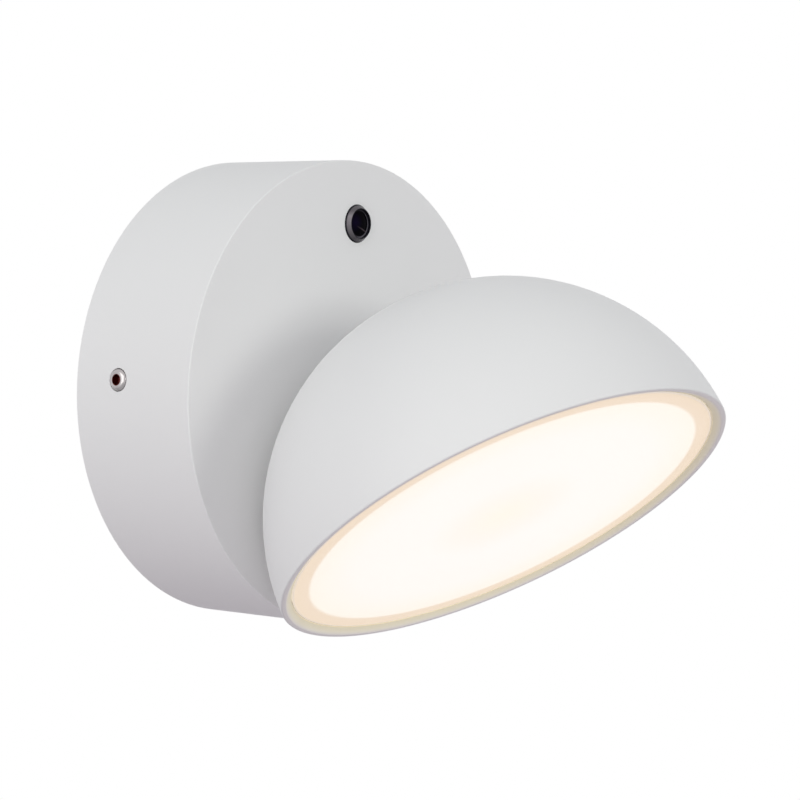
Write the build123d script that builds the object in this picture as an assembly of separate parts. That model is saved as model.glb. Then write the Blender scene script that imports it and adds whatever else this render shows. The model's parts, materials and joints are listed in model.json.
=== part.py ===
from build123d import *
import os
from math import asin, cos, degrees, hypot, radians, sin, sqrt, tan

# An outdoor wall lamp: a white drum that covers a strap bracket on the wall, and a half-ball head that
# swivels in a round dish in the drum's face and shines down and forwards through an opal diffuser.
# The finished part has X to the right when facing the wall, +Y into the wall and +Z up, with its origin
# on the wall at the middle of the drum. The pieces are built in a wall frame (X right, Y up the wall,
# Z out of the wall) and are stood up at the end. All sizes are in millimetres.

# Drum housing
drum_r = 60.0
drum_depth = 38.5
drum_wall = 3.0
face_t = 3.0
drum_edge_r = 0.35

# Ball head, as wide as the drum, and the dish that it turns in
head_wall = 3.0
head_sink = 7.0
rim_clear = 3.55
rim_edge_r = 0.4
dish_gap = 0.3
dish_wall = 4.0
dish_land = 2.0

# Opal diffuser in the head's mouth
diffuser_recess = 1.2
diffuser_t = 3.0
diffuser_gap = 0.3
diffuser_edge_r = 0.3
rim_chamfer = 2.0
pocket_step = 0.2
seal_t = 0.8
seal_w = 3.0

# Reflector cup, light board and heat plate
cup_flange_w = 4.0
cup_flange_t = 1.5
cup_flange_gap = 0.5
cup_wall = 1.2
cup_foot_w = 3.0
cup_foot_t = 1.2
cup_foot_gap = 0.7
board_t = 1.6
board_gap = 1.0
plate_t = 2.5
plate_gap = 2.0
plate_below_nut = 3.0
post_r = 3.5
post_edge = 3.6
post_count = 3
led_length = 3.5
led_width = 2.8
led_height = 0.8
led_edge = 6.0
led_outer_count = 14
led_inner_count = 7
plug_length = 9.0
plug_width = 7.0
plug_height = 3.0

# Swivel neck
neck_r = 5.0
neck_bore_r = 3.5
neck_tail = 2.0
neck_hole_gap = 0.1
neck_pad_t = 3.0
neck_pad_margin = 2.4
running_gap = 0.05
thrust_gap = 0.05
bush_wall = 1.5
bush_gap = 0.05
bush_flange_w = 2.5
bush_flange_t = 1.0
boss_margin = 3.0
boss_height = 0.7
seal_cord_r = 1.0
groove_gap = 0.2
groove_wall = 1.6
stop_t = 1.5
stop_ring_w = 4.5
stop_finger_w = 5.0
stop_pin_r = 2.0
stop_pin_gap = 1.0
stop_pin_over = 0.5
spring_t = 0.8
spring_height = 1.4
spring_w = 3.6
nut_wall = 2.0
nut_t = 4.0
lock_t = 1.0
lock_w = 3.0

# Screws: a hex-socket button head outside, cross-recess pan heads inside
screw_r = 1.5
screw_bite = 5.0
screw_clear = 0.2
thread_gap = 0.05
button_r = 2.8
button_height = 1.65
button_flat_r = 1.8
button_edge = 0.35
button_sink = 1.0
button_gap = 0.15
button_key = 2.5
button_key_depth = 1.1
button_key_turn = 30.0
pan_r = 2.75
pan_height = 1.8
pan_edge_r = 0.6
cross_length = 3.0
cross_width = 0.8
cross_depth = 0.9

# Wall bracket, its side flanges and the drum's pads that they stand behind
strap_w = 20.0
strap_t = 2.0
strap_bend_r = 1.0
flange_height = 22.0
flange_end_r = 5.0
pad_t = 2.0
pad_w = 12.0
pad_gap = 0.3
side_screw_out = 14.4
side_screw_over = 1.0
wall_slot_spacing = 60.0
wall_slot_length = 12.0
wall_slot_w = 4.5
tab_margin = 1.0

# Rear gasket and cable grommet
gasket_t = 3.0
gasket_lip = 1.6
gasket_gap = 0.1
gasket_clear = 0.4
grommet_r = 6.4
grommet_gap = 0.1
grommet_bore_r = 4.5
grommet_collar_w = 2.1
grommet_collar_h = 3.0
grommet_edge_r = 0.8

# Dusk sensor in the drum's face
sensor_in = 16.2
lens_r = 3.8
lens_gap = 0.05
lens_depth = 1.9
lens_rise = 0.5
lens_below = 0.8
barrel_wall = 0.6
barrel_gap = 0.1
barrel_length = 9.5
bezel_w = 0.55
bezel_slope = 1.0
bezel_proud = 1.35
sensor_nut_wall = 2.05
sensor_nut_t = 3.0
sensor_seal_t = 0.8
sensor_seal_w = 2.2
sensor_board_r = 6.0
sensor_board_t = 1.2
eye_r = 2.5
eye_gap = 0.5
eye_length = 4.0

# Driver box under the sensor
driver_length = 70.0
driver_w = 28.0
driver_t = 18.0
driver_gap = 1.3
driver_wall = 1.5
driver_corner_r = 2.0
driver_standoff = 4.0
driver_lip_t = 1.5
driver_lip_gap = 0.1
ear_length = 8.5
ear_w = 9.0
ear_t = 2.5
ear_end_r = 3.0
ear_hole_in = 4.0
stand_r = 3.6
driver_board_t = 1.6
driver_board_gap = 0.5
coil_size = 13.0
coil_height = 9.0
capacitor_r = 4.0
capacitor_length = 11.0
choke_r = 5.0
choke_height = 7.0

# Terminal block on the bracket's tab
pole_pitch = 11.0
pole_count = 3
block_w = 16.0
block_height = 11.0
block_beside_nut = 4.0
block_below_strap = 2.0
block_bore_up = 5.0
insert_r = 2.5
insert_bore_r = 1.7
insert_gap = 0.1
insert_short = 1.0
clamp_screw_r = 1.3
clamp_screw_gap = 0.1
clamp_screw_sink = 1.0
clamp_spread = 4.0
block_screw_r = 1.25
block_screw_head_r = 2.2
block_screw_head_h = 1.5
block_screw_floor = 3.0

# Earth post inside the drum's face, to the right of the terminal block
earth_in = 12.0
earth_below_block = 2.0
earth_post_r = 4.0
earth_post_height = 6.0
lug_r = 3.6
lug_t = 0.8
lug_barrel_r = 1.7
lug_barrel_length = 6.0
lug_barrel_gap = 0.3

# Leads inside the lamp
lead_r = 1.2
lead_gap = 0.2
lead_in = 4.0
led_cable_r = 1.8
sensor_lead_r = 1.1
cable_split = 3.0

# The head's place, and the frames of its pieces. In the head frame Z runs from the mouth's plane into
# the ball. In the neck frame Z runs from the ball's middle towards the wall.
drum_in_r = drum_r - drum_wall
face_in = drum_depth - face_t
head_r = drum_r
dish_r = head_r + dish_gap
head_in_r = head_r - head_wall
head_out = drum_depth + head_r - head_sink
head_drop = drum_r - dish_land - sqrt(dish_r**2 - (head_out - drum_depth) ** 2)
head_tilt = degrees(asin(1 - (head_sink + rim_clear) / head_r))
head_at = (0, -head_drop, head_out)
head_place = Location(head_at, (head_tilt - 180, 0, 0))
neck_place = Location(head_at, (180, 0, 0))
stand_up = Location((0, 0, 0), (90, 0, 0))

# Places along the neck
nut_across = 2 * (neck_r + nut_wall)
nut_corner_r = nut_across / sqrt(3)
bush_r = neck_r + running_gap + bush_wall
bush_flange_r = bush_r + bush_flange_w
groove_half = seal_cord_r + groove_gap
seal_ring_r = bush_r + bush_gap + groove_wall + groove_half
seal_ring_at = sqrt((dish_r + seal_cord_r) ** 2 - seal_ring_r**2)
groove_end = seal_ring_at + seal_cord_r
boss_r = bush_flange_r + boss_margin
boss_end = dish_r + dish_wall + boss_height
stop_start = boss_end + bush_flange_t + thrust_gap
stop_pin_at = boss_r + stop_pin_gap + stop_pin_r
spring_start = stop_start + stop_t
nut_start = spring_start + spring_height
neck_end = nut_start + nut_t + neck_tail
pad_end = head_in_r - neck_pad_t
neck_pad_r = nut_corner_r + neck_pad_margin
inner_nut_end = pad_end - lock_t
inner_nut_start = inner_nut_end - nut_t
neck_start = inner_nut_start - neck_tail
split_at = neck_end - cable_split

# Places inside the head
pocket_r = head_in_r - pocket_step
diffuser_r = pocket_r - diffuser_gap
diffuser_back = diffuser_recess + diffuser_t
cup_front = diffuser_back + seal_t
cup_edge_r = diffuser_r - cup_flange_gap
cup_mouth_r = diffuser_r - cup_flange_w
nut_low = inner_nut_start * cos(radians(head_tilt)) - nut_corner_r * sin(radians(head_tilt))
plate_back = nut_low - plate_below_nut
cup_back = plate_back - plate_t
plate_r = sqrt(head_in_r**2 - plate_back**2) - plate_gap
post_at_r = plate_r - post_edge
cup_foot_r = post_at_r - pan_r - cup_foot_gap
cup_base_r = cup_foot_r - cup_foot_w
board_r = cup_base_r - board_gap
board_front = cup_back - board_t
led_outer_r = board_r - led_edge
led_inner_r = led_outer_r / 2
board_screw_at_r = (led_outer_r + led_inner_r) / 2
cable_hole_r = led_cable_r + lead_gap

# Places inside the drum
pad_x = drum_in_r - pad_t
flange_x = pad_x - pad_gap
button_seat = drum_r - button_sink
gasket_r = drum_r - gasket_lip - gasket_gap
gasket_in_r = hypot(flange_x, strap_w / 2) + gasket_clear
sensor_up = drum_r - sensor_in
barrel_r = lens_r + lens_gap + barrel_wall
bezel_r = barrel_r + bezel_w
bezel_top = drum_depth + bezel_proud
lens_seat = bezel_top - lens_depth
sensor_nut_across = 2 * (barrel_r + sensor_nut_wall)
sensor_end = drum_depth - barrel_length
driver_high = sensor_up - sensor_nut_across / sqrt(3) - driver_gap
driver_low = driver_high - driver_w
driver_middle = (driver_low + driver_high) / 2
driver_front = face_in - driver_standoff
driver_back = driver_front - driver_t
driver_lead_z = driver_back + driver_t / 3
driver_hole_x = driver_length / 2 + ear_hole_in
block_left = nut_across / 2 + block_beside_nut
block_right = block_left + pole_count * pole_pitch
pole_x = [block_left + (n + 0.5) * pole_pitch for n in range(pole_count)]
block_end = -strap_w / 2 - block_below_strap
block_low = block_end - block_w
block_middle = (block_low + block_end) / 2
block_top = strap_t + block_height
block_bore_z = strap_t + block_bore_up
block_screw_x = [x + pole_pitch / 2 for x in pole_x[:-1]]
led_cable_x = -pole_x[0]
earth_at = (drum_in_r - earth_in, block_end - earth_below_block)
earth_post_end = face_in - earth_post_height
lug_barrel_start = earth_at[1] + pan_r + lug_barrel_gap
lug_barrel_end = lug_barrel_start + lug_barrel_length
lug_barrel_z = earth_post_end - lug_barrel_r


def rod(r, z0, z1, x=0, y=0):
    return Pos(x, y, (z0 + z1) / 2) * Cylinder(r, z1 - z0)


def rod_x(r, x0, x1, y=0, z=0):
    return Pos((x0 + x1) / 2, y, z) * Rot(0, 90, 0) * Cylinder(r, abs(x1 - x0))


def rod_y(r, y0, y1, x=0, z=0):
    return Pos(x, (y0 + y1) / 2, z) * Rot(90, 0, 0) * Cylinder(r, y1 - y0)


def tube(r_out, r_in, z0, z1, x=0, y=0):
    return rod(r_out, z0, z1, x, y) - rod(r_in, z0, z1, x, y)


def block(x0, x1, y0, y1, z0, z1):
    return Pos((x0 + x1) / 2, (y0 + y1) / 2, (z0 + z1) / 2) * Box(x1 - x0, y1 - y0, z1 - z0)


def hex_rod(across, z0, z1):
    return Pos(0, 0, z0) * extrude(RegularPolygon(across / 2, 6, major_radius=False), z1 - z0)


def turned(lines):
    # A closed outline of (radius, height) lines, turned about Z.
    return revolve(Plane.XZ * make_face(lines), Axis.Z)


def turned_points(points):
    return turned(Polyline(*points, close=True))


def circles_at(solid, z, r):
    # The round edges of this radius at this height.
    near = 0.001
    edges = solid.edges().filter_by(GeomType.CIRCLE)
    return [e for e in edges if abs(e.arc_center.Z - z) < near and abs(e.radius - r) < near]


def ring_places(count, r, start=0.0):
    # Places on a circle about Z, each turned to face outwards.
    return [Rot(0, 0, start + n * 360 / count) * Pos(r, 0, 0) for n in range(count)]


def on_neck(solid):
    return neck_place * solid


def in_head(solid):
    return head_place * solid


def bend_radius(before, at, after):
    # The largest arc that leaves a little straight run at each end of both runs.
    run_share = 0.45
    into = Vector(*at) - Vector(*before)
    out = Vector(*after) - Vector(*at)
    return run_share * min(into.length, out.length) / tan(radians(into.get_angle(out)) / 2)


def lead(name, points, r):
    # A round lead along straight runs joined by tangent arcs.
    radii = [bend_radius(*points[n - 1 : n + 2]) for n in range(1, len(points) - 1)]
    path = FilletPolyline(*points, radius=radii)
    print(name, "bend radii", [round(x, 1) for x in radii], "length", round(path.length, 1))
    return sweep(Plane(origin=path @ 0, z_dir=path % 0) * Circle(r), path=path)


def pan_screw(length):
    # The head's underside is at z = 0 and the thread runs down from it.
    head = fillet(circles_at(rod(pan_r, 0, pan_height), pan_height, pan_r), pan_edge_r)
    for turn in (0, 90):
        head -= Pos(0, 0, pan_height) * Rot(0, 0, turn) * Box(cross_length, cross_width, 2 * cross_depth)
    return head + rod(screw_r, -length, 0)


def button_screw(length):
    bulge = (button_height - button_edge) / 5
    middle = ((button_r + button_flat_r) / 2 + bulge, (button_height + button_edge) / 2 + bulge)
    outline = [
        Polyline((0, button_height), (0, -length), (screw_r, -length), (screw_r, 0), (button_r, 0)),
        Line((button_r, 0), (button_r, button_edge)),
        ThreePointArc((button_r, button_edge), middle, (button_flat_r, button_height)),
        Line((button_flat_r, button_height), (0, button_height)),
    ]
    socket = Rot(0, 0, button_key_turn) * hex_rod(button_key, button_height - button_key_depth, button_height)
    return turned(outline) - socket


def drum_housing():
    body = rod(drum_r, 0, drum_depth)
    body = fillet(circles_at(body, drum_depth, drum_r), drum_edge_r)
    body -= rod(drum_in_r, 0, face_in)
    body -= rod(gasket_r + gasket_gap, 0, gasket_t)
    # The front wall bulges inwards behind the dish, with a flat boss round the neck and a stop pin.
    in_wall = dish_r + dish_wall / 2
    in_face = face_in + face_t / 2
    in_side = drum_r - drum_wall / 2
    body += Pos(*head_at) * Sphere(dish_r + dish_wall) & rod(in_side, gasket_t, in_face)
    body += on_neck(rod(boss_r, in_wall, boss_end))
    body += on_neck(rod(stop_pin_r, in_wall, spring_start + stop_pin_over, 0, stop_pin_at))
    # Pads for the side screws, stands for the driver and the earth post.
    pad = block(pad_x, in_side, -pad_w / 2, pad_w / 2, side_screw_out - pad_w / 2, side_screw_out + pad_w / 2)
    body += [pad, Rot(0, 0, 180) * pad]
    stands = [rod(stand_r, driver_front, in_face, side * driver_hole_x, driver_middle) for side in (1, -1)]
    body += stands + [rod(earth_post_r, earth_post_end, in_face, *earth_at)]
    # Openings: dish, neck, seal groove, side screws, sensor and tapped holes.
    body -= Pos(*head_at) * Sphere(dish_r)
    body -= on_neck(rod(bush_r + bush_gap, dish_r - dish_wall, boss_end))
    groove_out_r = seal_ring_r + groove_half
    body -= on_neck(tube(groove_out_r, seal_ring_r - groove_half, dish_r - dish_wall, groove_end))
    outside = drum_r + button_sink
    for side in (1, -1):
        body -= rod_x(screw_r + screw_clear, side * pad_x, side * drum_r, 0, side_screw_out)
        body -= rod_x(button_r + button_gap, side * button_seat, side * outside, 0, side_screw_out)
        hole = rod(screw_r + thread_gap, driver_front, driver_front + screw_bite)
        body -= Pos(side * driver_hole_x, driver_middle, 0) * hole
    body -= rod(screw_r + thread_gap, earth_post_end, earth_post_end + screw_bite, *earth_at)
    body -= rod(barrel_r + barrel_gap, face_in, drum_depth, 0, sensor_up)
    return body


def wall_bracket():
    out = flange_x
    inner = flange_x - strap_t
    top = flange_height
    outline = [
        FilletPolyline((-out, top), (-out, 0), (out, 0), (out, top), radius=strap_bend_r + strap_t),
        Line((out, top), (inner, top)),
        FilletPolyline((inner, top), (inner, strap_t), (-inner, strap_t), (-inner, top), radius=strap_bend_r),
        Line((-inner, top), (-out, top)),
    ]
    body = extrude(Plane.XZ * make_face(outline), strap_w / 2, both=True)
    body = fillet(body.edges().filter_by(Axis.X).group_by(Axis.Z)[-1], flange_end_r)
    body += block(block_left - tab_margin, block_right + tab_margin, block_low - tab_margin, 0, 0, strap_t)
    body -= rod(grommet_r + grommet_gap, 0, strap_t)
    slot = extrude(SlotOverall(wall_slot_length, wall_slot_w), strap_t)
    for side in (1, -1):
        body -= Pos(side * wall_slot_spacing / 2, 0, 0) * slot
        body -= rod_x(screw_r + thread_gap, side * inner, side * out, 0, side_screw_out)
    for x in block_screw_x:
        body -= rod(block_screw_r + thread_gap, 0, strap_t, x, block_middle)
    return body


def wall_gasket():
    return tube(gasket_r, gasket_in_r, 0, gasket_t)


def cable_grommet():
    collar_r = grommet_r + grommet_collar_w
    top = strap_t + grommet_collar_h
    body = rod(grommet_r, 0, top) + rod(collar_r, strap_t, top)
    body = fillet(circles_at(body, top, collar_r), grommet_edge_r)
    return body - rod(grommet_bore_r, 0, top)


def side_screws():
    length = button_seat - (flange_x - strap_t) + side_screw_over
    screw = Pos(button_seat, 0, side_screw_out) * Rot(0, 90, 0) * button_screw(length)
    return Compound([screw, Rot(0, 0, 180) * screw])


def sensor_bezel():
    outline = [
        (eye_r + eye_gap, sensor_end),
        (barrel_r, sensor_end),
        (barrel_r, drum_depth),
        (bezel_r, drum_depth),
        (bezel_r - bezel_slope, bezel_top),
        (lens_r + lens_gap, bezel_top),
        (lens_r + lens_gap, lens_seat),
        (eye_r + eye_gap, lens_seat),
    ]
    return Pos(0, sensor_up, 0) * turned_points(outline)


def sensor_lens():
    # A disc with a shallow ball-shaped front.
    top = bezel_top - lens_below + lens_rise
    ball_r = (lens_r**2 + lens_rise**2) / (2 * lens_rise)
    return Pos(0, sensor_up, 0) * (rod(lens_r, lens_seat, top) & Pos(0, 0, top - ball_r) * Sphere(ball_r))


def sensor_seal():
    seal = tube(barrel_r + sensor_seal_w, barrel_r + barrel_gap, face_in - sensor_seal_t, face_in)
    return Pos(0, sensor_up, 0) * seal


def sensor_nut():
    top = face_in - sensor_seal_t
    nut = hex_rod(sensor_nut_across, top - sensor_nut_t, top)
    return Pos(0, sensor_up, 0) * (nut - rod(barrel_r + thread_gap, top - sensor_nut_t, top))


def sensor_board():
    return rod(sensor_board_r, sensor_end - sensor_board_t, sensor_end, 0, sensor_up)


def photo_cell():
    # A round-nosed cell that stands on its board inside the barrel.
    neck = sensor_end + eye_length - eye_r
    return Pos(0, sensor_up, 0) * (rod(eye_r, sensor_end, neck) + Pos(0, 0, neck) * half_ball(eye_r))


def half_ball(r):
    return Sphere(r) & rod(r, 0, r)


def driver_case():
    half = driver_length / 2
    inner = half - driver_wall
    low = driver_low + driver_wall
    high = driver_high - driver_wall
    body = block(-half, half, driver_low, driver_high, driver_back, driver_front)
    body = fillet(body.edges().filter_by(Axis.Z), driver_corner_r)
    body -= block(-inner, inner, low, high, driver_back, driver_front - driver_wall)
    ear = block(half - driver_wall / 2, half + ear_length, -ear_w / 2, ear_w / 2, 0, ear_t)
    ear = fillet(ear.edges().filter_by(Axis.Z).group_by(Axis.X)[-1], ear_end_r)
    ear -= rod(screw_r + screw_clear, 0, ear_t, driver_hole_x, 0)
    ear = Pos(0, driver_middle, driver_front - ear_t) * ear
    body += [ear, mirror(ear, Plane.YZ)]
    for x in pole_x[:2]:
        body -= rod_y(lead_r + lead_gap, driver_low, low, x, driver_lead_z)
    body -= rod_y(led_cable_r + lead_gap, driver_low, low, led_cable_x, driver_lead_z)
    body -= rod_y(sensor_lead_r + lead_gap, high, driver_high, 0, driver_lead_z)
    return body


def driver_lid():
    half = driver_length / 2
    lid = block(-half, half, driver_low, driver_high, driver_back - driver_wall, driver_back)
    lid = fillet(lid.edges().filter_by(Axis.Z), driver_corner_r)
    return lid + lid_block(driver_wall + driver_lip_gap) - lid_block(2 * driver_wall + driver_lip_gap)


def lid_block(inset):
    x = driver_length / 2 - inset
    return block(-x, x, driver_low + inset, driver_high - inset, driver_back, driver_back + driver_lip_t)


def driver_screws():
    screw = Rot(180, 0, 0) * pan_screw(ear_t + screw_bite - thread_gap)
    z = driver_front - ear_t
    return Compound([Pos(side * driver_hole_x, driver_middle, z) * screw for side in (1, -1)])


def driver_board():
    inset = driver_wall + driver_board_gap
    x = driver_length / 2 - inset
    top = driver_front - driver_wall
    return block(-x, x, driver_low + inset, driver_high - inset, top - driver_board_t, top)


def driver_components():
    z = driver_front - driver_wall - driver_board_t
    half = coil_size / 2
    coil = block(-half, half, driver_middle - half, driver_middle + half, z - coil_height, z)
    capacitor = rod_x(capacitor_r, coil_size, coil_size + capacitor_length, driver_middle, z - capacitor_r)
    choke = rod(choke_r, z - choke_height, z, -coil_size - choke_r, driver_middle)
    return Compound([coil, capacitor, choke])


def clamp_places():
    return [(x, block_middle + side * clamp_spread) for x in pole_x for side in (1, -1)]


def terminal_block():
    body = block(block_left, block_right, block_low, block_end, strap_t, block_top)
    for x in pole_x:
        body -= rod_y(insert_r + insert_gap, block_low, block_end, x, block_bore_z)
    for place in clamp_places():
        body -= rod(clamp_screw_r + clamp_screw_gap, block_bore_z, block_top, *place)
    for x in block_screw_x:
        body -= rod(block_screw_r + screw_clear, strap_t, block_top, x, block_middle)
        body -= rod(block_screw_head_r + screw_clear, strap_t + block_screw_floor, block_top, x, block_middle)
    return body


def terminal_inserts():
    y0 = block_low + insert_short
    y1 = block_end - insert_short
    inserts = []
    for x in pole_x:
        insert = rod_y(insert_r, y0, y1, x, block_bore_z) - rod_y(insert_bore_r, y0, y1, x, block_bore_z)
        for side in (1, -1):
            place = (x, block_middle + side * clamp_spread)
            insert -= rod(clamp_screw_r + thread_gap, block_bore_z, block_bore_z + insert_r, *place)
        inserts.append(insert)
    return Compound(inserts)


def slotted_screw(r, tip, top, place):
    slot = Pos(*place, top) * Box(2 * r, cross_width, 2 * cross_width)
    return rod(r, tip, top, *place) - slot


def terminal_screws():
    tip = block_bore_z + lead_r + thread_gap
    top = block_top - clamp_screw_sink
    return Compound([slotted_screw(clamp_screw_r, tip, top, place) for place in clamp_places()])


def block_screws():
    floor = strap_t + block_screw_floor
    screws = []
    for x in block_screw_x:
        head = slotted_screw(block_screw_head_r, floor, floor + block_screw_head_h, (x, block_middle))
        screws.append(head + rod(block_screw_r, 0, floor, x, block_middle))
    return Compound(screws)


def earth_lug():
    x, y = earth_at
    back = earth_post_end - lug_t
    lug = rod(lug_r, back, earth_post_end, x, y)
    lug += block(x - lug_barrel_r, x + lug_barrel_r, y, lug_barrel_start, back, earth_post_end)
    lug += rod_y(lug_barrel_r, lug_barrel_start, lug_barrel_end, x, lug_barrel_z)
    lug -= rod(screw_r + screw_clear, back, earth_post_end, x, y)
    return lug - rod_y(lead_r + thread_gap, lug_barrel_end - lead_in, lug_barrel_end, x, lug_barrel_z)


def earth_screw():
    screw = Rot(180, 0, 0) * pan_screw(lug_t + screw_bite - thread_gap)
    return Pos(*earth_at, earth_post_end - lug_t) * screw


def supply_lead(name, x):
    # From the terminal block, over the strap, into the driver's underside.
    third = (driver_low - block_end) / 3
    points = [
        (x, block_end - insert_short - lead_in, block_bore_z),
        (x, block_end + third, block_bore_z),
        (x, driver_low - third, driver_lead_z),
        (x, driver_low + lead_in, driver_lead_z),
    ]
    return lead(name, points, lead_r)


def earth_lead():
    # Up from the terminal block in a loop and down into the lug's barrel.
    x0 = pole_x[-1]
    x1 = earth_at[0]
    points = [
        (x0, block_end - insert_short - lead_in, block_bore_z),
        (x0, block_end + 4.0, block_bore_z),
        (x0 + 1.0, block_end + 11.5, block_bore_z + 4.5),
        (x1 - 2.0, lug_barrel_end + 7.5, lug_barrel_z - 7.0),
        (x1, lug_barrel_end + 4.5, lug_barrel_z),
        (x1, lug_barrel_end - lead_in, lug_barrel_z),
    ]
    return lead("earth_lead", points, lead_r)


def sensor_lead():
    # From the back of the sensor's board, down into the driver's upper side.
    points = [
        (0, sensor_up, sensor_end - sensor_board_t),
        (0, sensor_up, driver_lead_z + 3.5),
        (0, sensor_up - 3.5, driver_lead_z),
        (0, driver_high - lead_in, driver_lead_z),
    ]
    return lead("sensor_lead", points, sensor_lead_r)


def led_cable_base():
    # Out of the neck on the swivel's axis, then round to the driver's underside.
    tail = head_out - neck_end
    points = [
        (0, -head_drop, head_out - split_at),
        (0, -head_drop, tail - 3.5),
        (-3.5, -head_drop + 3.5, tail - 8.5),
        (-11.0, -head_drop + 11.5, tail - 9.0),
        (led_cable_x, driver_low - 16.0, driver_lead_z - 5.5),
        (led_cable_x, driver_low - 8.0, driver_lead_z),
        (led_cable_x, driver_low + lead_in, driver_lead_z),
    ]
    return lead("led_cable_base", points, led_cable_r)


def led_cable_head():
    # Along the swivel's axis into the head, then over to the plug at the light board's middle.
    along = Vector(0, sin(radians(head_tilt)), cos(radians(head_tilt)))
    start = along * split_at
    turn = along * (neck_start - 3.5)
    points = [
        (0, start.Y, start.Z),
        (0, turn.Y, turn.Z),
        (0, turn.Y - 14.5, turn.Z + 6.0),
        (0, 8.0, turn.Z + 8.0),
        (0, 0, turn.Z),
        (0, 0, board_front),
    ]
    return in_head(lead("led_cable_head", points, led_cable_r))


def swivel_bush():
    end = boss_end + bush_flange_t
    bush = rod(bush_r, groove_end, boss_end) + rod(bush_flange_r, boss_end, end)
    return on_neck(bush - rod(neck_r + running_gap, groove_end, end))


def swivel_seal():
    return on_neck(Pos(0, 0, seal_ring_at) * Torus(seal_ring_r, seal_cord_r))


def neck_tube():
    return on_neck(tube(neck_r, neck_bore_r, neck_start, neck_end))


def hex_nut(start):
    return on_neck(hex_rod(nut_across, start, start + nut_t) - rod(neck_r + thread_gap, start, start + nut_t))


def neck_washer():
    return on_neck(tube(neck_r + lock_w, neck_r + neck_hole_gap, inner_nut_end, pad_end))


def stop_washer():
    # A ring that turns with the neck, with a finger that meets the drum's stop pin near a full turn.
    half = stop_finger_w / 2
    ring = rod(neck_r + stop_ring_w, stop_start, spring_start)
    ring += block(-half, half, -stop_pin_at - stop_pin_r, 0, stop_start, spring_start)
    return on_neck(ring - rod(neck_r + thread_gap, stop_start, spring_start))


def disc_spring():
    r0 = neck_r + neck_hole_gap
    r1 = r0 + spring_w
    end = spring_start + spring_height
    outline = [(r0, end - spring_t), (r1, spring_start), (r1, spring_start + spring_t), (r0, end)]
    return on_neck(turned_points(outline))


def head_shell():
    pocket_end = sqrt(head_in_r**2 - pocket_r**2)
    inner_start = degrees(asin(pocket_end / head_in_r))
    rim_r = pocket_r + rim_chamfer
    outline = [
        Polyline((pocket_r, pocket_end), (pocket_r, diffuser_recess), (rim_r, 0), (head_r, 0)),
        CenterArc((0, 0), head_r, 0, 90),
        Line((0, head_r), (0, head_in_r)),
        CenterArc((0, 0), head_in_r, inner_start, 90 - inner_start),
    ]
    body = turned(outline)
    body = fillet(circles_at(body, 0, head_r), rim_edge_r)
    # Posts for the heat plate and a flat pad for the neck grow out of the wall's inside.
    within = Sphere(head_r - head_wall / 2)
    to_neck = head_place.inverse() * neck_place
    post_places = ring_places(post_count, post_at_r, -90)
    body += [place * rod(post_r, plate_back, head_in_r) & within for place in post_places]
    body += to_neck * rod(neck_pad_r, pad_end, head_r) & within
    for place in post_places:
        body -= place * rod(screw_r + thread_gap, plate_back, plate_back + screw_bite)
    return in_head(body - to_neck * rod(neck_r + neck_hole_gap, pad_end, head_r + dish_gap))


def diffuser():
    body = rod(diffuser_r, diffuser_recess, diffuser_back)
    edges = circles_at(body, diffuser_recess, diffuser_r) + circles_at(body, diffuser_back, diffuser_r)
    return in_head(fillet(edges, diffuser_edge_r))


def diffuser_seal():
    return in_head(tube(cup_edge_r, cup_edge_r - seal_w, diffuser_back, cup_front))


def reflector_cup():
    flange_back = cup_front + cup_flange_t
    foot_front = cup_back - cup_foot_t
    outline = [
        (cup_mouth_r, cup_front),
        (cup_edge_r, cup_front),
        (cup_edge_r, flange_back),
        (cup_mouth_r + cup_wall, flange_back),
        (cup_base_r + cup_wall, foot_front),
        (cup_foot_r, foot_front),
        (cup_foot_r, cup_back),
        (cup_base_r, cup_back),
    ]
    return in_head(turned_points(outline))


def light_board():
    body = rod(board_r, board_front, cup_back) - rod(cable_hole_r, board_front, cup_back)
    for place in ring_places(post_count, board_screw_at_r, 90):
        body -= place * rod(screw_r + screw_clear, board_front, cup_back)
    return in_head(body)


def leds():
    length = led_length / 2
    width = led_width / 2
    chip = block(-length, length, -width, width, board_front - led_height, board_front)
    places = ring_places(led_outer_count, led_outer_r) + ring_places(led_inner_count, led_inner_r)
    return Compound([in_head(place * chip) for place in places])


def led_plug():
    length = plug_length / 2
    width = plug_width / 2
    return in_head(block(-length, length, -width, width, board_front - plug_height, board_front))


def board_screws():
    screw = Pos(0, 0, board_front) * Rot(180, 0, 0) * pan_screw(board_t + plate_t)
    return Compound([in_head(place * screw) for place in ring_places(post_count, board_screw_at_r, 90)])


def heat_plate():
    body = rod(plate_r, cup_back, plate_back) - rod(cable_hole_r, cup_back, plate_back)
    for place in ring_places(post_count, board_screw_at_r, 90):
        body -= place * rod(screw_r + thread_gap, cup_back, plate_back)
    for place in ring_places(post_count, post_at_r, -90):
        body -= place * rod(screw_r + screw_clear, cup_back, plate_back)
    return in_head(body)


def plate_screws():
    screw = Pos(0, 0, cup_back) * Rot(180, 0, 0) * pan_screw(plate_t + screw_bite - thread_gap)
    return Compound([in_head(place * screw) for place in ring_places(post_count, post_at_r, -90)])


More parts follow.
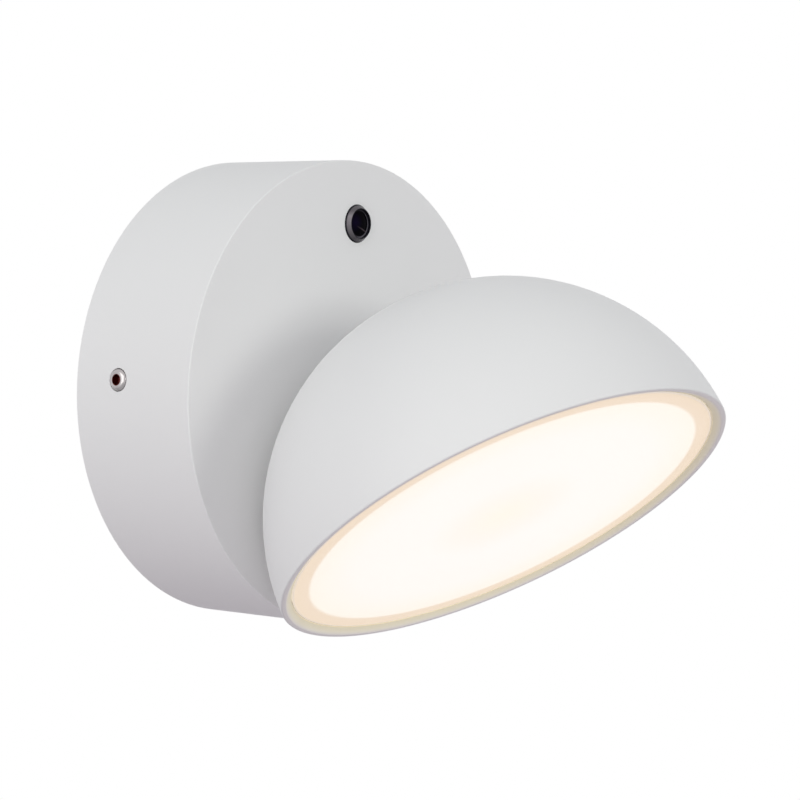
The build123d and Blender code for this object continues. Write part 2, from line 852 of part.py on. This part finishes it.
nodes = {
    "drum_housing": drum_housing(),
    "wall_bracket": wall_bracket(),
    "wall_gasket": wall_gasket(),
    "cable_grommet": cable_grommet(),
    "side_screws": side_screws(),
    "sensor_bezel": sensor_bezel(),
    "sensor_lens": sensor_lens(),
    "sensor_seal": sensor_seal(),
    "sensor_nut": sensor_nut(),
    "sensor_board": sensor_board(),
    "photo_cell": photo_cell(),
    "sensor_lead": sensor_lead(),
    "driver_case": driver_case(),
    "driver_lid": driver_lid(),
    "driver_screws": driver_screws(),
    "driver_board": driver_board(),
    "driver_components": driver_components(),
    "terminal_block": terminal_block(),
    "terminal_inserts": terminal_inserts(),
    "terminal_screws": terminal_screws(),
    "block_screws": block_screws(),
    "earth_lug": earth_lug(),
    "earth_screw": earth_screw(),
    "live_lead": supply_lead("live_lead", pole_x[0]),
    "neutral_lead": supply_lead("neutral_lead", pole_x[1]),
    "earth_lead": earth_lead(),
    "led_cable_base": led_cable_base(),
    "swivel_bush": swivel_bush(),
    "swivel_seal": swivel_seal(),
    "head_shell": head_shell(),
    "diffuser": diffuser(),
    "diffuser_seal": diffuser_seal(),
    "reflector_cup": reflector_cup(),
    "light_board": light_board(),
    "leds": leds(),
    "led_plug": led_plug(),
    "board_screws": board_screws(),
    "heat_plate": heat_plate(),
    "plate_screws": plate_screws(),
    "neck_tube": neck_tube(),
    "neck_nut": hex_nut(inner_nut_start),
    "neck_washer": neck_washer(),
    "stop_washer": stop_washer(),
    "disc_spring": disc_spring(),
    "swivel_nut": hex_nut(nut_start),
    "led_cable_head": led_cable_head(),
}

os.makedirs("parts", exist_ok=True)
for name, solid in nodes.items():
    export_step(stand_up * solid, f"parts/{name}.step")
print("swivel axis below the drum's middle", round(head_drop, 3), "tilt", round(head_tilt, 2))
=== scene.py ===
import bpy
import json
from math import radians, sin, cos
from mathutils import Matrix, Vector

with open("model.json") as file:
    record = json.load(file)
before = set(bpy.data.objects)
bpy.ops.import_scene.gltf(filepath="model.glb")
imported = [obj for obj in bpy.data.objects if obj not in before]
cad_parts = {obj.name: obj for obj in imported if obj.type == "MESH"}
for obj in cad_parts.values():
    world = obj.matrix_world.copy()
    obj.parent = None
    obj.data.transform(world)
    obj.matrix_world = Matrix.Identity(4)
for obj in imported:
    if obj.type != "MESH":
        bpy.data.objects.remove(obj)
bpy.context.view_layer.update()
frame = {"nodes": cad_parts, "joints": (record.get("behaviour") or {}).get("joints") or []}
bpy.ops.object.select_all(action="DESELECT")


# Wall bracket
# A strap of pressed steel, bent up into a flange at each end and screwed to the wall through two slots.
# It is zinc plated, so it is bluish silver with a fine grain left by the rolling mill.
def grain(tree, scale, detail=3.0, stretch=(1, 1, 1)):
    """A noise on the piece's own coordinates, with so many features to the metre."""
    place = tree.nodes.new("ShaderNodeTexCoord")
    spread = tree.nodes.new("ShaderNodeMapping")
    noise = tree.nodes.new("ShaderNodeTexNoise")
    spread.inputs["Scale"].default_value = stretch
    noise.inputs["Scale"].default_value = scale
    noise.inputs["Detail"].default_value = detail
    tree.links.new(place.outputs["Object"], spread.inputs["Vector"])
    tree.links.new(spread.outputs["Vector"], noise.inputs["Vector"])
    return noise.outputs["Fac"]


def tint(tree, factor, low, high):
    """A colour that goes from low to high with the factor."""
    mix = tree.nodes.new("ShaderNodeMix")
    mix.data_type = "RGBA"
    mix.inputs["A"].default_value = (*low, 1)
    mix.inputs["B"].default_value = (*high, 1)
    tree.links.new(factor, mix.inputs["Factor"])
    return mix.outputs["Result"]


def level(tree, factor, low, high, start=0.3, end=0.7):
    """A number that goes from low to high as the factor goes from start to end."""
    scale = tree.nodes.new("ShaderNodeMapRange")
    scale.inputs["From Min"].default_value = start
    scale.inputs["From Max"].default_value = end
    scale.inputs["To Min"].default_value = low
    scale.inputs["To Max"].default_value = high
    tree.links.new(factor, scale.inputs["Value"])
    return scale.outputs["Result"]


def relief(tree, height, depth):
    """Fine relief of the given depth in metres."""
    bump = tree.nodes.new("ShaderNodeBump")
    bump.inputs["Distance"].default_value = depth
    tree.links.new(height, bump.inputs["Height"])
    return bump.outputs["Normal"]


def finish(name, dark, light, rough, scale, depth, stretch=(1, 1, 1), metallic=0.0, specular=0.5):
    """A finish whose shade, gloss and relief all follow one grain."""
    made = bpy.data.materials.new(name)
    made.use_nodes = True
    tree = made.node_tree
    skin = tree.nodes["Principled BSDF"]
    skin.inputs["Metallic"].default_value = metallic
    skin.inputs["Specular IOR Level"].default_value = specular
    pattern = grain(tree, scale, stretch=stretch)
    tree.links.new(tint(tree, pattern, dark, light), skin.inputs["Base Color"])
    tree.links.new(level(tree, pattern, *rough), skin.inputs["Roughness"])
    tree.links.new(relief(tree, pattern, depth), skin.inputs["Normal"])
    return made


def dress(made, *nodes):
    """Give a finish to nodes of the part."""
    for node in nodes:
        frame["nodes"][node].material_slots[0].material = made


zinc = finish(
    "zinc_plating", dark=(0.50, 0.51, 0.53), light=(0.68, 0.69, 0.70), rough=(0.26, 0.42), scale=900,
    depth=0.000006, stretch=(0.15, 1, 1), metallic=1.0)
dress(zinc, "wall_bracket")

# Wall gasket
# A ring of closed-cell foam rubber in a step round the drum's rear edge, which keeps rain out behind it.
# It is cut from sheet, so its faces show the cells.
foam = finish(
    "foam_rubber", dark=(0.045, 0.045, 0.048), light=(0.085, 0.085, 0.09), rough=(0.75, 0.95), scale=1400,
    depth=0.00006)
dress(foam, "wall_gasket")

# Cable grommet
# A soft moulded rubber ring, pressed into a hole in the middle of the strap. The supply cable comes out of
# the wall through it.
rubber = finish(
    "moulded_rubber", dark=(0.016, 0.016, 0.016), light=(0.03, 0.03, 0.03), rough=(0.5, 0.66), scale=1200,
    depth=0.00001)
dress(rubber, "cable_grommet")

# Terminal block
# A white moulded block with three turned brass poles and their clamping screws, held to the strap by two
# screws. The supply cable's cores go in at the open side.
block_plastic = finish(
    "block_plastic", dark=(0.76, 0.75, 0.71), light=(0.83, 0.82, 0.78), rough=(0.42, 0.55), scale=700,
    depth=0.00001)
brass = finish(
    "turned_brass", dark=(0.62, 0.44, 0.17), light=(0.76, 0.58, 0.28), rough=(0.24, 0.36), scale=1500,
    depth=0.000004, stretch=(1, 0.2, 1), metallic=1.0)
bright_zinc = finish(
    "screw_plating", dark=(0.56, 0.57, 0.58), light=(0.74, 0.75, 0.76), rough=(0.2, 0.34), scale=1600,
    depth=0.000004, metallic=1.0)
dress(block_plastic, "terminal_block")
dress(brass, "terminal_inserts")
dress(bright_zinc, "terminal_screws", "block_screws")

# Drum housing
# A die-cast aluminium drum with a white powder coat. The coat flows together in the oven and leaves a very
# fine orange peel. The drum slides over the strap and is held to its flanges by the side screws.
coat_dark, coat_light = (0.848, 0.846, 0.846), (0.872, 0.87, 0.87)
coat_rough = (0.5, 0.6)
cloud_scale, peel_scale, peel_depth = 22, 900, 0.000012


def powder_coat(name):
    """The white coat, and the colour it would have before any tint."""
    made = bpy.data.materials.new(name)
    made.use_nodes = True
    tree = made.node_tree
    skin = tree.nodes["Principled BSDF"]
    skin.inputs["Specular IOR Level"].default_value = 0.4
    peel = grain(tree, peel_scale, detail=2.0)
    colour = tint(tree, grain(tree, cloud_scale, detail=2.0), coat_dark, coat_light)
    tree.links.new(colour, skin.inputs["Base Color"])
    tree.links.new(level(tree, peel, *coat_rough), skin.inputs["Roughness"])
    tree.links.new(relief(tree, peel, peel_depth), skin.inputs["Normal"])
    return made, colour


dress(powder_coat("drum_coat")[0], "drum_housing")

# Earth point
# A tin-plated brass lug on the end of the earth lead, clamped under a screw in a boss that is cast inside
# the drum.
tin = finish(
    "tin_plating", dark=(0.58, 0.57, 0.54), light=(0.72, 0.71, 0.68), rough=(0.28, 0.42), scale=1300,
    depth=0.000004, metallic=1.0)
dress(tin, "earth_lug")
dress(bright_zinc, "earth_screw")

# Driver
# The power supply: a black moulded box with a lid held by four screws, and in it a glass-fibre board with
# the transformer and the other components.
black_plastic = finish(
    "black_moulding", dark=(0.018, 0.018, 0.019), light=(0.032, 0.032, 0.034), rough=(0.48, 0.62),
    scale=1500, depth=0.000018)
board_mask = finish(
    "board_mask", dark=(0.02, 0.12, 0.045), light=(0.035, 0.19, 0.08), rough=(0.28, 0.4), scale=500,
    depth=0.000006)
components = finish(
    "component_sleeves", dark=(0.03, 0.028, 0.028), light=(0.09, 0.08, 0.075), rough=(0.35, 0.55),
    scale=300, depth=0.00001)
dress(black_plastic, "driver_case", "driver_lid")
dress(bright_zinc, "driver_screws")
dress(board_mask, "driver_board")
dress(components, "driver_components")


# Leads
# Stranded copper in smooth coloured insulation: brown and blue from the terminals to the driver, green with
# a yellow stripe to the earth point, black to the sensor and white through the neck to the light board.
def insulation(name, dark, light):
    """A smooth finish of one colour."""
    return finish(name, dark, light, rough=(0.36, 0.46), scale=500, depth=0.000005)


def from_point(tree, point, tilt=0.0):
    """The piece's own coordinates, counted from a point in a frame that is tilted about X."""
    place = tree.nodes.new("ShaderNodeTexCoord")
    shift = tree.nodes.new("ShaderNodeMapping")
    shift.vector_type = "TEXTURE"
    shift.inputs["Location"].default_value = point
    shift.inputs["Rotation"].default_value = (tilt, 0, 0)
    tree.links.new(place.outputs["Object"], shift.inputs["Vector"])
    return shift.outputs["Vector"]


def along(tree, vector, direction):
    """How far a vector goes in a direction."""
    dot = tree.nodes.new("ShaderNodeVectorMath")
    dot.operation = "DOT_PRODUCT"
    dot.inputs[1].default_value = direction
    tree.links.new(vector, dot.inputs[0])
    return dot.outputs["Value"]


def both(tree, first, second):
    """The product of two masks."""
    product = tree.nodes.new("ShaderNodeMath")
    product.operation = "MULTIPLY"
    tree.links.new(first, product.inputs[0])
    tree.links.new(second, product.inputs[1])
    return product.outputs["Value"]


def over(tree, value, edge):
    """A mask that rises from nought to one across an edge, given by its start and end."""
    return level(tree, value, 0, 1, *edge)


def under(tree, value, edge):
    """A mask that falls from one to nought across an edge, given by its start and end."""
    return level(tree, value, 1, 0, *edge)


def between(tree, value, lower, upper):
    """A mask of what lies between two edges."""
    return both(tree, over(tree, value, lower), under(tree, value, upper))


def overlay(made, mask, colour, socket="Base Color"):
    """Lay another colour over a finish, or over its glow, where the mask is one."""
    tree = made.node_tree
    skin = tree.nodes["Principled BSDF"]
    mix = tree.nodes.new("ShaderNodeMix")
    mix.data_type = "RGBA"
    mix.inputs["B"].default_value = (*colour, 1)
    tree.links.new(mask, mix.inputs["Factor"])
    tree.links.new(skin.inputs[socket].links[0].from_socket, mix.inputs["A"])
    tree.links.new(mix.outputs["Result"], skin.inputs[socket])


dress(insulation("brown_insulation", (0.16, 0.07, 0.035), (0.22, 0.1, 0.05)), "live_lead")
dress(insulation("blue_insulation", (0.03, 0.12, 0.42), (0.05, 0.17, 0.5)), "neutral_lead")
earth_green = insulation("green_insulation", (0.03, 0.22, 0.04), (0.05, 0.30, 0.06))
earth_tree = earth_green.node_tree
stripe_point = (0.0385, -0.007, 0)
stripe_across = (0.954, 0.298, 0)
stripe_left, stripe_right = (-0.0006, -0.0005), (0.0005, 0.0006)
stripe_yellow = (0.78, 0.60, 0.03)
earth_off = along(earth_tree, from_point(earth_tree, stripe_point), stripe_across)
overlay(earth_green, between(earth_tree, earth_off, stripe_left, stripe_right), stripe_yellow)
dress(earth_green, "earth_lead")
dress(insulation("black_insulation", (0.02, 0.02, 0.02), (0.035, 0.035, 0.035)), "sensor_lead")
white_insulation = insulation("white_insulation", (0.76, 0.76, 0.74), (0.83, 0.83, 0.81))
dress(white_insulation, "led_cable_base", "led_cable_head")


# Dusk sensor
# A black bezel screwed through the drum's face and held by a nut, with a seal behind the face. Its flank is
# turned to a satin grey, with painted shade that darkens it towards the bottom and, less, towards the top.
# The dark domed lens lets the daylight through to the photo cell on a board. A violet painted reflection, a
# faint lighter diagonal line and a painted highlight on its right edge are laid on the lens.
def reach(tree, vector, ways):
    """The length of a vector, counted only in the directions that are marked with ones."""
    flat = tree.nodes.new("ShaderNodeVectorMath")
    flat.operation = "MULTIPLY"
    flat.inputs[1].default_value = ways
    length = tree.nodes.new("ShaderNodeVectorMath")
    length.operation = "LENGTH"
    tree.links.new(vector, flat.inputs[0])
    tree.links.new(flat.outputs["Vector"], length.inputs[0])
    return length.outputs["Value"]


sensor_middle = (0, 0, 0.0438)
along_wall = (1, 0, 1)
across, upward = (1, 0, 0), (0, 0, 1)
flank_inner, flank_outer = (0.00396, 0.00402), (0.00462, 0.00476)
flank_low, flank_high = (-0.004, 0.002), (0.0016, 0.003)
flank_dark, flank_satin = (0.008, 0.008, 0.013), (0.275, 0.25, 0.27)
bezel_gloss = finish(
    "bezel_gloss", dark=(0.012, 0.012, 0.016), light=(0.02, 0.02, 0.026), rough=(0.2, 0.3), scale=1500,
    depth=0.000003, specular=0.15)
bezel_tree = bezel_gloss.node_tree
bezel_place = from_point(bezel_tree, sensor_middle)
bezel_radius = reach(bezel_tree, bezel_place, along_wall)
bezel_flank = between(bezel_tree, bezel_radius, flank_inner, flank_outer)
bezel_height = along(bezel_tree, bezel_place, upward)
# Painted shade: the satin flank is darkened towards the bottom and the top by height alone.
bezel_painted_shade = both(bezel_tree, level(bezel_tree, bezel_height, 0.25, 1, *flank_low),
                   level(bezel_tree, bezel_height, 1, 0.4, *flank_high))
bezel_satin_and_painted_shade = both(bezel_tree, bezel_flank, bezel_painted_shade)
bezel_tree.links.new(tint(bezel_tree, bezel_satin_and_painted_shade, flank_dark, flank_satin),
                     bezel_tree.nodes["Principled BSDF"].inputs["Base Color"])
lens_dark = finish(
    "dark_lens", dark=(0.0010, 0.0008, 0.0018), light=(0.0016, 0.0012, 0.0028), rough=(0.04, 0.08),
    scale=300, depth=0.000001, specular=0.01)
lens_tree = lens_dark.node_tree
lens_place = from_point(lens_tree, sensor_middle)
lens_radius = reach(lens_tree, lens_place, along_wall)
lens_across = along(lens_tree, lens_place, across)
lens_height = along(lens_tree, lens_place, upward)
# Painted reflection: a violet patch left of the lens's middle stands in for a reflection in it.
reflection_middle, reflection_edge = (-0.0018, 0, 0.0440), (0, 0.0027)
reflection_radius = reach(lens_tree, from_point(lens_tree, reflection_middle), along_wall)
lens_painted_reflection = under(lens_tree, reflection_radius, reflection_edge)
# A faint lighter diagonal line is painted on the lens, below its middle and towards the right.
line_slant = (0.287, 0, 0.958)
line_low, line_high, line_left = (-0.00126, -0.00110), (-0.00096, -0.00080), (-0.0014, 0.001)
line_band = between(lens_tree, along(lens_tree, lens_place, line_slant), line_low, line_high)
lens_line = both(lens_tree, line_band, over(lens_tree, lens_across, line_left))
# Painted highlight: a grey crescent at the lens's right edge, fading upwards, stands in for light caught in
# its edge.
lit_left, lit_high, lit_inner = (-0.002, 0.001), (0, 0.003), (0.0032, 0.0034)
lit_low = level(lens_tree, lens_height, 1, 0.25, *lit_high)
lit_side = both(lens_tree, over(lens_tree, lens_across, lit_left), lit_low)
painted_lit_edge = both(lens_tree, lit_side, over(lens_tree, lens_radius, lit_inner))
reflection_violet, line_grey, painted_highlight_grey = (0.006, 0.0035, 0.018), (0.06, 0.045, 0.055), (0.15, 0.14, 0.165)
overlay(lens_dark, lens_painted_reflection, reflection_violet)
overlay(lens_dark, lens_line, line_grey)
overlay(lens_dark, painted_lit_edge, painted_highlight_grey)
resin = finish(
    "clear_resin", dark=(0.5, 0.46, 0.42), light=(0.62, 0.57, 0.52), rough=(0.08, 0.16), scale=400,
    depth=0.000002)
dress(bezel_gloss, "sensor_bezel", "sensor_nut")
dress(lens_dark, "sensor_lens")
dress(rubber, "sensor_seal")
dress(board_mask, "sensor_board")
dress(resin, "photo_cell")

# Side screws
# Two stainless button-head screws with a hex socket, which hold the drum to the strap's flanges. The dome
# is bright, and the hex socket is painted a dark red-brown as painted shade in the recess.
screw_middle = (0, -0.0144, 0)
# Painted shade: the socket's dark red-brown stands in for the shade deep in the recess.
socket_painted_shade = (0.11, 0.024, 0.02)
stainless = finish(
    "stainless_steel", dark=(0.34, 0.315, 0.32), light=(0.58, 0.55, 0.555), rough=(0.14, 0.24), scale=700,
    depth=0.000002, metallic=1.0)
screw_tree = stainless.node_tree
screw_place = from_point(screw_tree, screw_middle)
screw_radius = reach(screw_tree, screw_place, (0, 1, 1))
screw_side = reach(screw_tree, screw_place, across)
socket_edge, socket_floor = (0.00144, 0.00150), (0.0592, 0.0594)
in_socket = both(screw_tree, under(screw_tree, screw_radius, socket_edge),
                 over(screw_tree, screw_side, socket_floor))
overlay(stainless, in_socket, socket_painted_shade)
dress(stainless, "side_screws")

# Swivel
# A hollow steel neck bolted into the ball turns in a plastic bush in the drum. A stop washer, a disc spring
# and a nut pull it tight, and a rubber ring seals it against rain.
bush_plastic = finish(
    "bush_plastic", dark=(0.7, 0.68, 0.6), light=(0.8, 0.78, 0.7), rough=(0.4, 0.52), scale=600,
    depth=0.000008)
oiled_steel = finish(
    "oiled_spring_steel", dark=(0.16, 0.16, 0.18), light=(0.3, 0.3, 0.32), rough=(0.3, 0.44), scale=900,
    depth=0.000005, metallic=1.0)
dress(bush_plastic, "swivel_bush")
dress(rubber, "swivel_seal")
dress(zinc, "neck_tube", "neck_nut", "neck_washer", "stop_washer", "swivel_nut")
dress(oiled_steel, "disc_spring")


# Head
# A die-cast aluminium half ball with the same powder coat as the drum. Its rim, and most of all the slope
# inside it, has a painted olive cream tone and a painted faint glow, standing in for the lit sheet's warm
# light.
def blend(tree, factor, first, second):
    """A colour that goes from one other colour to a second one."""
    mix = tree.nodes.new("ShaderNodeMix")
    mix.data_type = "RGBA"
    tree.links.new(factor, mix.inputs["Factor"])
    tree.links.new(first, mix.inputs["A"])
    tree.links.new(second, mix.inputs["B"])
    return mix.outputs["Result"]


def rings(tree, radius, full, stops):
    """A colour that changes with the radius, through stops at radii up to the full one."""
    ramp = tree.nodes.new("ShaderNodeValToRGB")
    for number, (place, colour) in enumerate(stops):
        if number < 2:
            stop = ramp.color_ramp.elements[number]
        else:
            stop = ramp.color_ramp.elements.new(1.0)
        stop.position = place / full
        stop.color = (*colour, 1)
    tree.links.new(level(tree, radius, 0, 1, 0, full), ramp.inputs["Fac"])
    return ramp.outputs["Color"]


ball_centre = Vector(frame["joints"][0]["pos_m"])
mouth_tilt = radians(-34.5)
mouth_radius = 0.06
across_mouth = (1, 1, 0)
rim_depth, rim_outer, slope_outer = (0.0014, 0.0015), (0.0595, 0.0598), (0.0582, 0.0588)
# Painted glow: the rim and the slope glow as painted light from the lit sheet, though the head is no lamp.
rim_painted_glow, slope_painted_glow = (0.03, 0.025, 0.025), (0.10, 0.092, 0.055)
head_coat, head_white = powder_coat("head_coat")
head_tree = head_coat.node_tree
head_skin = head_tree.nodes["Principled BSDF"]
head_place = from_point(head_tree, ball_centre, mouth_tilt)
head_radius = reach(head_tree, head_place, across_mouth)
head_depth = along(head_tree, head_place, upward)
in_rim = both(head_tree, under(head_tree, head_depth, rim_depth), under(head_tree, head_radius, rim_outer))
in_slope = both(head_tree, in_rim, under(head_tree, head_radius, slope_outer))
# Painted light: the rim's olive cream colours stand in for the lit sheet's warm light falling on the white
# coat.
rim_painted_light_stops = (
    (0.0566, (0.88, 0.81, 0.62)),
    (0.0577, (0.89, 0.84, 0.69)),
    (0.0584, (0.88, 0.85, 0.78)),
    (0.0588, (0.87, 0.85, 0.84)),
)
rim_painted_light = rings(head_tree, head_radius, mouth_radius, rim_painted_light_stops)
head_tree.links.new(blend(head_tree, in_rim, head_white, rim_painted_light), head_skin.inputs["Base Color"])
head_tree.links.new(tint(head_tree, in_rim, (0, 0, 0), rim_painted_glow), head_skin.inputs["Emission Color"])
overlay(head_coat, in_slope, slope_painted_glow, "Emission Color")
head_skin.inputs["Emission Strength"].default_value = 1.0
dress(head_coat, "head_shell")

# Light source
# A blanked aluminium plate screwed into the ball carries a white aluminium-core board with its light
# sources. A glossy white cup gathers their light towards the diffuser.
bare_aluminium = finish(
    "bare_aluminium", dark=(0.54, 0.55, 0.56), light=(0.68, 0.69, 0.70), rough=(0.3, 0.44), scale=900,
    depth=0.000005, stretch=(0.2, 1, 1), metallic=1.0)
white_mask = finish(
    "white_board_mask", dark=(0.82, 0.82, 0.81), light=(0.88, 0.88, 0.87), rough=(0.3, 0.4), scale=500,
    depth=0.000004)
phosphor = finish(
    "phosphor_resin", dark=(0.82, 0.62, 0.12), light=(0.92, 0.74, 0.22), rough=(0.2, 0.3), scale=1500,
    depth=0.000004)
cup_gloss = finish(
    "cup_gloss", dark=(0.85, 0.85, 0.85), light=(0.9, 0.9, 0.9), rough=(0.12, 0.2), scale=500,
    depth=0.000003)
dress(bare_aluminium, "heat_plate")
dress(bright_zinc, "plate_screws", "board_screws")
dress(white_mask, "light_board")
dress(phosphor, "leds")
dress(block_plastic, "led_plug")
dress(cup_gloss, "reflector_cup")

# Diffuser
# A satin opal sheet, sunk a little below the rim on a silicone seal and lit warm white from behind. The
# reflector ends short of its edge, so a cream band is left round the bright middle.
opal = bpy.data.materials.new("lit_opal")
opal.use_nodes = True
opal_tree = opal.node_tree
opal_skin = opal_tree.nodes["Principled BSDF"]
opal_radius = reach(opal_tree, from_point(opal_tree, ball_centre, mouth_tilt), across_mouth)
opal_stops = (
    (0.0, (0.57, 0.52, 0.41)),
    (0.012, (0.57, 0.515, 0.45)),
    (0.021, (0.57, 0.54, 0.50)),
    (0.040, (0.57, 0.535, 0.49)),
    (0.0517, (0.56, 0.515, 0.42)),
    (0.0525, (0.445, 0.325, 0.18)),
    (0.0560, (0.44, 0.32, 0.165)),
    (0.0562, (0.34, 0.29, 0.22)),
)
opal_glow = rings(opal_tree, opal_radius, mouth_radius, opal_stops)
opal_tree.links.new(opal_glow, opal_skin.inputs["Emission Color"])
opal_skin.inputs["Emission Strength"].default_value = 1.0
sheet_dark, sheet_light = (0.84, 0.82, 0.78), (0.88, 0.86, 0.82)
sheet_rough = (0.5, 0.6)
haze_scale, satin_scale, satin_depth = 40, 1500, 0.000004
opal_colour = tint(opal_tree, grain(opal_tree, haze_scale), sheet_dark, sheet_light)
opal_satin = grain(opal_tree, satin_scale)
opal_tree.links.new(opal_colour, opal_skin.inputs["Base Color"])
opal_tree.links.new(level(opal_tree, opal_satin, *sheet_rough), opal_skin.inputs["Roughness"])
opal_tree.links.new(relief(opal_tree, opal_satin, satin_depth), opal_skin.inputs["Normal"])
silicone = finish(
    "silicone_seal", dark=(0.72, 0.72, 0.7), light=(0.8, 0.8, 0.78), rough=(0.5, 0.62), scale=700,
    depth=0.000006)
dress(opal, "diffuser")
dress(silicone, "diffuser_seal")

# Studio
# A pale floor below, shown from above only, an even surround, a large soft lamp at the left, one in front
# and one behind at the right. The surround is plain white to the camera and in reflections, and gives a
# softer grey light to the rest.
floor_drop = 0.3
floor_radius = 1.2
floor_grey, floor_bounce = (0.86, 0.86, 0.86), (0.53, 0.475, 0.52)
surround_light = (0.480, 0.485, 0.503)


def seen_directly(tree):
    """One for what the camera sees, also in a reflection or through glass, and nought for other light."""
    path = tree.nodes.new("ShaderNodeLightPath")
    seen = path.outputs["Is Camera Ray"]
    for ray in ("Is Glossy Ray", "Is Transmission Ray"):
        either = tree.nodes.new("ShaderNodeMath")
        either.operation = "MAXIMUM"
        tree.links.new(seen, either.inputs[0])
        tree.links.new(path.outputs[ray], either.inputs[1])
        seen = either.outputs["Value"]
    return seen


bpy.ops.mesh.primitive_circle_add(vertices=96, radius=floor_radius, fill_type="NGON",
                                  location=(0, 0, -floor_drop))
floor = bpy.context.object
floor.name = "floor"
floor_paint = bpy.data.materials.new("floor_paint")
floor_paint.use_nodes = True
floor_tree = floor_paint.node_tree
floor_skin = floor_tree.nodes["Principled BSDF"]
floor_skin.inputs["Roughness"].default_value = 0.8
floor_seen = seen_directly(floor_tree)
floor_tree.links.new(tint(floor_tree, floor_seen, floor_bounce, floor_grey), floor_skin.inputs["Base Color"])
floor_reach = reach(floor_tree, from_point(floor_tree, (0, 0, 0)), (1, 1, 0))
floor_fade = (0.35, 0.95 * floor_radius)
floor_edge = over(floor_tree, floor_reach, floor_fade)
floor_white = floor_tree.nodes.new("ShaderNodeEmission")
floor_mix = floor_tree.nodes.new("ShaderNodeMixShader")
floor_tree.links.new(both(floor_tree, floor_seen, floor_edge), floor_mix.inputs["Fac"])
floor_tree.links.new(floor_skin.outputs["BSDF"], floor_mix.inputs[1])
floor_tree.links.new(floor_white.outputs["Emission"], floor_mix.inputs[2])
floor_side = floor_tree.nodes.new("ShaderNodeNewGeometry")
floor_path = floor_tree.nodes.new("ShaderNodeLightPath")
floor_gap = floor_tree.nodes.new("ShaderNodeBsdfTransparent")
floor_open = floor_tree.nodes.new("ShaderNodeMixShader")
floor_below = both(floor_tree, floor_side.outputs["Backfacing"], floor_path.outputs["Is Camera Ray"])
floor_tree.links.new(floor_below, floor_open.inputs["Fac"])
floor_tree.links.new(floor_mix.outputs["Shader"], floor_open.inputs[1])
floor_tree.links.new(floor_gap.outputs["BSDF"], floor_open.inputs[2])
floor_tree.links.new(floor_open.outputs["Shader"], floor_tree.nodes["Material Output"].inputs["Surface"])
floor.data.materials.append(floor_paint)

world = bpy.data.worlds.new("studio")
bpy.context.scene.world = world
world.use_nodes = True
world_tree = world.node_tree
surround = world_tree.nodes["Background"]
world_tree.links.new(tint(world_tree, seen_directly(world_tree), surround_light, (1, 1, 1)),
                     surround.inputs["Color"])


def soft_lamp(name, place, aim, size, power, colour):
    """A square area lamp at one point that faces another."""
    bpy.ops.object.light_add(type="AREA", location=place)
    lamp = bpy.context.object
    lamp.name = name
    lamp.data.size = size
    lamp.data.energy = power
    lamp.data.color = colour
    lamp.rotation_mode = "QUATERNION"
    lamp.rotation_quaternion = (Vector(aim) - Vector(place)).to_track_quat("-Z", "Y")
    lamp.visible_camera = False


lamp_aim = (0, -0.06, 0)
soft_lamp("left_lamp", (-1.6, -0.15, 0.3), lamp_aim, size=1.8, power=13.2, colour=(0.983, 1, 0.961))
soft_lamp("front_lamp", (0.05, -1.7, 0.4), lamp_aim, size=0.5, power=5.9, colour=(0.983, 1, 0.948))
soft_lamp("rear_lamp", (1.3, 1.0, 0.0), lamp_aim, size=0.3, power=8.0, colour=(0.99, 1, 0.97))

# Camera
# A long lens less than a metre away, level with the lamp and well to its left. It is rolled by three
# degrees.
azimuth, elevation, roll = radians(-50.982), radians(-0.034), radians(3.011)
distance = 0.67946
aim = Vector((0.00388, -0.05271, -0.0013))
back = Vector((sin(azimuth) * cos(elevation), -cos(azimuth) * cos(elevation), sin(elevation)))
right = Vector((cos(azimuth), sin(azimuth), 0))
turn = Matrix((right, back.cross(right), back)).transposed().to_4x4() @ Matrix.Rotation(roll, 4, "Z")
bpy.ops.object.camera_add()
camera = bpy.context.object
camera.data.lens = 118.88
camera.data.sensor_width = 36
camera.data.clip_start = 0.01
camera.matrix_world = Matrix.Translation(aim + distance * back) @ turn
bpy.context.scene.camera = camera
bpy.context.scene.view_settings.view_transform = "Standard"
